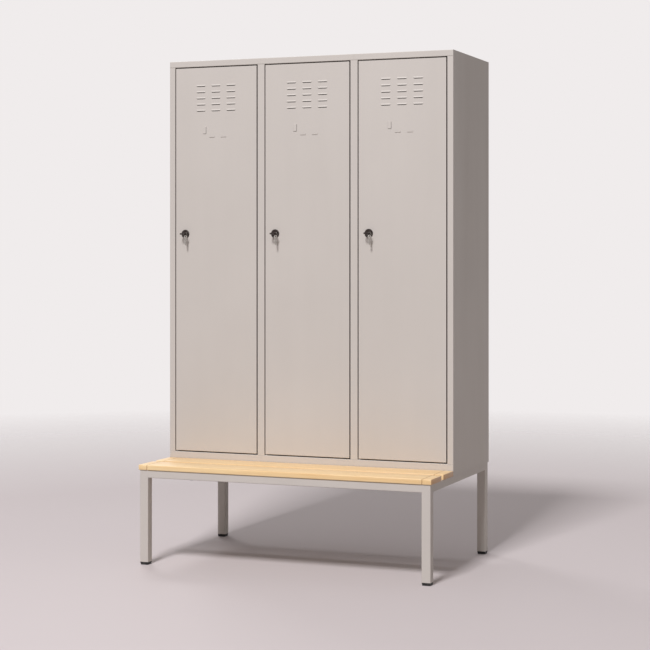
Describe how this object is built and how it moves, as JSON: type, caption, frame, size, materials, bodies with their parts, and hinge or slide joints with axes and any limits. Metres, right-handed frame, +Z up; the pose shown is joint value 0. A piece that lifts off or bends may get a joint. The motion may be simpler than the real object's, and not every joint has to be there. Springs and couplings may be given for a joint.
{
  "type": "cloakroom locker with bench",
  "caption": "Tall steel cloakroom locker with louvred pan doors and cam locks, standing on a square-tube bench frame whose front part carries a slatted wooden seat.",
  "frame": {"origin": "on the floor under the middle of the whole unit, seat included", "axes": "+Z up, doors and seat face -Y, +X to the right as seen from the front"},
  "size_m": [1.2, 0.75, 1.99],
  "materials": {
    "powder_coat": "warm light grey powder coat, satin",
    "seat_wood": "clear satin lacquer on light beech",
    "glide_plastic": "black moulded",
    "bush_nylon": "dark grey nylon",
    "buffer_rubber": "black rubber",
    "hook_plastic": "black moulded",
    "rail_steel": "chromed oval tube",
    "zinc_steel": "bright zinc plate",
    "lock_black": "black satin plate",
    "lock_steel": "nickel plate"
  },
  "bodies": {
    "carcass": {"left_side_panel": "powder_coat", "right_side_panel": "powder_coat", "top_panel": "powder_coat", "bottom_panel": "powder_coat", "back_panel": "powder_coat", "partition_left": "powder_coat", "partition_right": "powder_coat", "door_stops": "powder_coat", "hinge_bushes": "bush_nylon", "door_buffers": "buffer_rubber", "hat_shelf_1": "powder_coat", "hat_shelf_2": "powder_coat", "hat_shelf_3": "powder_coat", "coat_rail_1": "rail_steel", "coat_rail_2": "rail_steel", "coat_rail_3": "rail_steel", "bench_front_rail": "powder_coat", "bench_rear_rail": "powder_coat", "bench_mid_rail": "powder_coat", "bench_side_rails": "powder_coat", "bench_cross_bars": "powder_coat", "bench_legs": "powder_coat", "leg_glides": "glide_plastic", "seat_board_front": "seat_wood", "seat_board_rear": "seat_wood", "seat_end_cleats": "seat_wood", "bench_fasteners": "zinc_steel"},
    "door_leaf_1": {"door_1": "powder_coat", "door_stiffener_1": "powder_coat", "hinge_pins_1": "zinc_steel", "lock_housing_1": "lock_black"},
    "lock_core_1": {"lock_plug_1": "lock_black", "lock_cam_1": "zinc_steel", "key_1": "lock_black"},
    "hanging_keys_1": {"key_ring_1": "lock_steel", "spare_key_1": "lock_steel"},
    "hook_1_left": {"coat_hook_1_left": "hook_plastic"},
    "hook_1_right": {"coat_hook_1_right": "hook_plastic"},
    "door_leaf_2": {"door_2": "powder_coat", "door_stiffener_2": "powder_coat", "hinge_pins_2": "zinc_steel", "lock_housing_2": "lock_black"},
    "lock_core_2": {"lock_plug_2": "lock_black", "lock_cam_2": "zinc_steel", "key_2": "lock_black"},
    "hanging_keys_2": {"key_ring_2": "lock_steel", "spare_key_2": "lock_steel"},
    "hook_2_left": {"coat_hook_2_left": "hook_plastic"},
    "hook_2_right": {"coat_hook_2_right": "hook_plastic"},
    "door_leaf_3": {"door_3": "powder_coat", "door_stiffener_3": "powder_coat", "hinge_pins_3": "zinc_steel", "lock_housing_3": "lock_black"},
    "lock_core_3": {"lock_plug_3": "lock_black", "lock_cam_3": "zinc_steel", "key_3": "lock_black"},
    "hanging_keys_3": {"key_ring_3": "lock_steel", "spare_key_3": "lock_steel"},
    "hook_3_left": {"coat_hook_3_left": "hook_plastic"},
    "hook_3_right": {"coat_hook_3_right": "hook_plastic"}
  },
  "joints": [
    {"name": "door_swing_1", "type": "hinge", "parent": "carcass", "child": "door_leaf_1", "pos_m": [-0.2265, -0.1, 1.2935], "axis": [0, 0, 1], "range_deg": [0, 110]},
    {"name": "lock_turn_1", "type": "hinge", "parent": "door_leaf_1", "child": "lock_core_1", "pos_m": [-0.5295, -0.105, 1.2935], "axis": [0, 1, 0], "range_deg": [0, 90]},
    {"name": "ring_swing_1", "type": "hinge", "parent": "lock_core_1", "child": "hanging_keys_1", "pos_m": [-0.518, -0.129, 1.2935], "axis": [0, 1, 0], "range_deg": [-90, 0]},
    {"name": "hook_slide_1_left", "type": "slide", "parent": "carcass", "child": "hook_1_left", "axis": [1, 0, 0], "range_m": [-0.095, 0.06]},
    {"name": "hook_slide_1_right", "type": "slide", "parent": "carcass", "child": "hook_1_right", "axis": [1, 0, 0], "range_m": [-0.06, 0.095]},
    {"name": "door_swing_2", "type": "hinge", "parent": "carcass", "child": "door_leaf_2", "pos_m": [0.1675, -0.1, 1.2935], "axis": [0, 0, 1], "range_deg": [0, 110]},
    {"name": "lock_turn_2", "type": "hinge", "parent": "door_leaf_2", "child": "lock_core_2", "pos_m": [-0.1355, -0.105, 1.2935], "axis": [0, 1, 0], "range_deg": [0, 90]},
    {"name": "ring_swing_2", "type": "hinge", "parent": "lock_core_2", "child": "hanging_keys_2", "pos_m": [-0.124, -0.129, 1.2935], "axis": [0, 1, 0], "range_deg": [-90, 0]},
    {"name": "hook_slide_2_left", "type": "slide", "parent": "carcass", "child": "hook_2_left", "axis": [1, 0, 0], "range_m": [-0.095, 0.06]},
    {"name": "hook_slide_2_right", "type": "slide", "parent": "carcass", "child": "hook_2_right", "axis": [1, 0, 0], "range_m": [-0.06, 0.095]},
    {"name": "door_swing_3", "type": "hinge", "parent": "carcass", "child": "door_leaf_3", "pos_m": [0.5615, -0.1, 1.2935], "axis": [0, 0, 1], "range_deg": [0, 110]},
    {"name": "lock_turn_3", "type": "hinge", "parent": "door_leaf_3", "child": "lock_core_3", "pos_m": [0.2585, -0.105, 1.2935], "axis": [0, 1, 0], "range_deg": [0, 90]},
    {"name": "ring_swing_3", "type": "hinge", "parent": "lock_core_3", "child": "hanging_keys_3", "pos_m": [0.27, -0.129, 1.2935], "axis": [0, 1, 0], "range_deg": [-90, 0]},
    {"name": "hook_slide_3_left", "type": "slide", "parent": "carcass", "child": "hook_3_left", "axis": [1, 0, 0], "range_m": [-0.095, 0.06]},
    {"name": "hook_slide_3_right", "type": "slide", "parent": "carcass", "child": "hook_3_right", "axis": [1, 0, 0], "range_m": [-0.06, 0.095]}
  ],
  "couplings": [
    {"joint": "ring_swing_1", "follows": "lock_turn_1", "ratio": -1},
    {"joint": "ring_swing_2", "follows": "lock_turn_2", "ratio": -1},
    {"joint": "ring_swing_3", "follows": "lock_turn_3", "ratio": -1}
  ]
}
